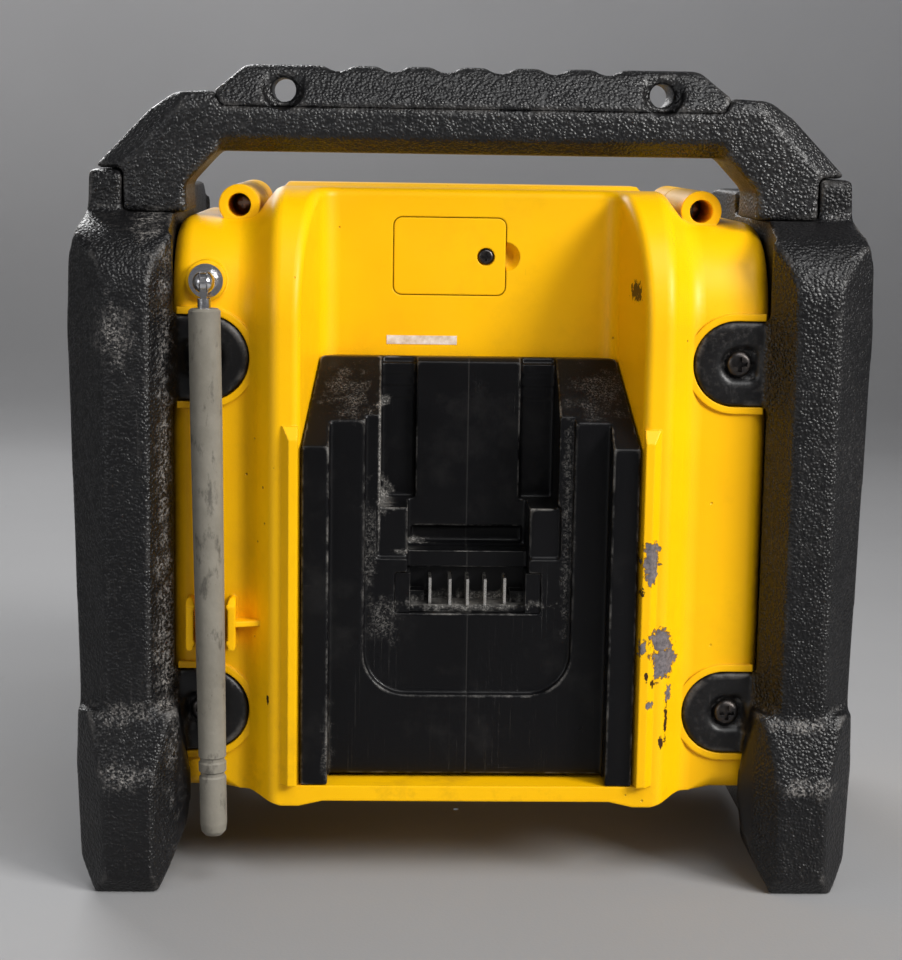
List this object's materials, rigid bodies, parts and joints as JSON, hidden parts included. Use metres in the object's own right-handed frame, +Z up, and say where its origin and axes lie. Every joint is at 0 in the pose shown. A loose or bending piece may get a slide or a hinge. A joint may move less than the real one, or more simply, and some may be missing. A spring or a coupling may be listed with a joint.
{
  "type": "worksite radio",
  "caption": "Rugged worksite radio with a roll cage, carry handle, tilting rod antenna, slide-on battery mount, and front speakers, display and controls.",
  "frame": {"origin": "on the ground plane, under the centre of the object", "axes": "+Z up; the speakers and display face -Y; the battery mount and antenna face +Y; the antenna is on the +X side"},
  "size_m": [0.2644, 0.185, 0.2725],
  "materials": {
    "yellow_shell": "satin moulded plastic, chipped and scuffed",
    "seal": "matt",
    "cage": "pebbled, with pale scuffs",
    "black_steel": "blackened",
    "steel": "plain",
    "black_plastic": "satin",
    "contact_metal": "plated",
    "lead_skin": "satin",
    "chrome": "bright, a little worn",
    "grey_rubber": "matt, marked",
    "clear_window": "clear plastic",
    "display": "grey-green",
    "circuit_board": "lacquered",
    "knob_rubber": "soft touch",
    "basket_steel": "black paint",
    "cone": "coated paper",
    "magnet": "ferrite with a plated back",
    "heat_sink": "extruded",
    "key_plastic": "satin",
    "label": "blank sticker"
  },
  "bodies": {
    "housing": {"rear_shell": "yellow_shell", "front_shell": "yellow_shell", "shell_gasket": "seal", "side_cage_right": "cage", "side_cage_left": "cage", "handle_frame": "cage", "handle_grip": "cage", "cage_screws": "black_steel", "handle_screws": "steel", "housing_screws": "steel", "battery_mount": "black_plastic", "mount_screws": "steel", "terminal_block": "black_plastic", "terminal_blades": "contact_metal", "battery_leads": "lead_skin", "coin_cell": "steel", "coin_cell_contact": "contact_metal", "antenna_base": "chrome", "antenna_nut": "steel", "antenna_pin": "chrome", "control_panel": "black_plastic", "lcd_window": "clear_window", "lcd_module": "display", "display_board": "circuit_board", "tact_switches": "black_plastic", "encoders": "steel", "speaker_basket_left": "basket_steel", "speaker_basket_right": "basket_steel", "speaker_cone_left": "cone", "speaker_cone_right": "cone", "speaker_magnet_left": "magnet", "speaker_magnet_right": "magnet", "speaker_grille_left": "black_plastic", "speaker_grille_right": "black_plastic", "port_door_pin": "steel", "usb_socket": "contact_metal", "aux_jack": "black_plastic", "dc_jack": "black_plastic", "main_board": "circuit_board", "board_screws": "steel", "board_parts": "black_plastic", "heat_sink": "heat_sink", "service_label": "label"},
    "antenna": {"antenna_knuckle": "chrome", "antenna_core": "steel", "antenna_sleeve": "grey_rubber"},
    "volume_control": {"volume_shaft": "steel", "volume_knob": "knob_rubber"},
    "tuning_control": {"tuning_shaft": "steel", "tuning_knob": "knob_rubber"},
    "port_cover": {"port_door": "knob_rubber"},
    "coin_cell_lid": {"coin_cell_cover": "yellow_shell", "coin_cell_screw": "black_steel"},
    "key_1": {"button_1": "key_plastic"},
    "key_2": {"button_2": "key_plastic"},
    "key_3": {"button_3": "key_plastic"},
    "key_4": {"button_4": "key_plastic"},
    "key_5": {"button_5": "key_plastic"}
  },
  "joints": [
    {"name": "antenna_tilt", "type": "hinge", "parent": "housing", "child": "antenna", "pos_m": [0.087, 0.081, 0.2022], "axis": [1, 0, 0], "range_deg": [0, 180]},
    {"name": "volume_turn", "type": "hinge", "parent": "housing", "child": "volume_control", "pos_m": [-0.056, -0.075, 0.182], "axis": [0, 1, 0], "continuous": true},
    {"name": "tuning_turn", "type": "hinge", "parent": "housing", "child": "tuning_control", "pos_m": [0.056, -0.075, 0.182], "axis": [0, 1, 0], "continuous": true},
    {"name": "port_cover_swing", "type": "hinge", "parent": "housing", "child": "port_cover", "pos_m": [0, -0.0766, 0.0612], "axis": [1, 0, 0], "range_deg": [0, 110]},
    {"name": "coin_cell_lid_lift", "type": "slide", "parent": "housing", "child": "coin_cell_lid", "axis": [0, 1, 0], "range_m": [0, 0.03]},
    {"name": "key_1_press", "type": "slide", "parent": "housing", "child": "key_1", "axis": [0, 1, 0], "range_m": [0, 0.0012], "stiffness_N_per_m": 800, "springref_m": -0.0006},
    {"name": "key_2_press", "type": "slide", "parent": "housing", "child": "key_2", "axis": [0, 1, 0], "range_m": [0, 0.0012], "stiffness_N_per_m": 800, "springref_m": -0.0006},
    {"name": "key_3_press", "type": "slide", "parent": "housing", "child": "key_3", "axis": [0, 1, 0], "range_m": [0, 0.0012], "stiffness_N_per_m": 800, "springref_m": -0.0006},
    {"name": "key_4_press", "type": "slide", "parent": "housing", "child": "key_4", "axis": [0, 1, 0], "range_m": [0, 0.0012], "stiffness_N_per_m": 800, "springref_m": -0.0006},
    {"name": "key_5_press", "type": "slide", "parent": "housing", "child": "key_5", "axis": [0, 1, 0], "range_m": [0, 0.0012], "stiffness_N_per_m": 800, "springref_m": -0.0006}
  ]
}
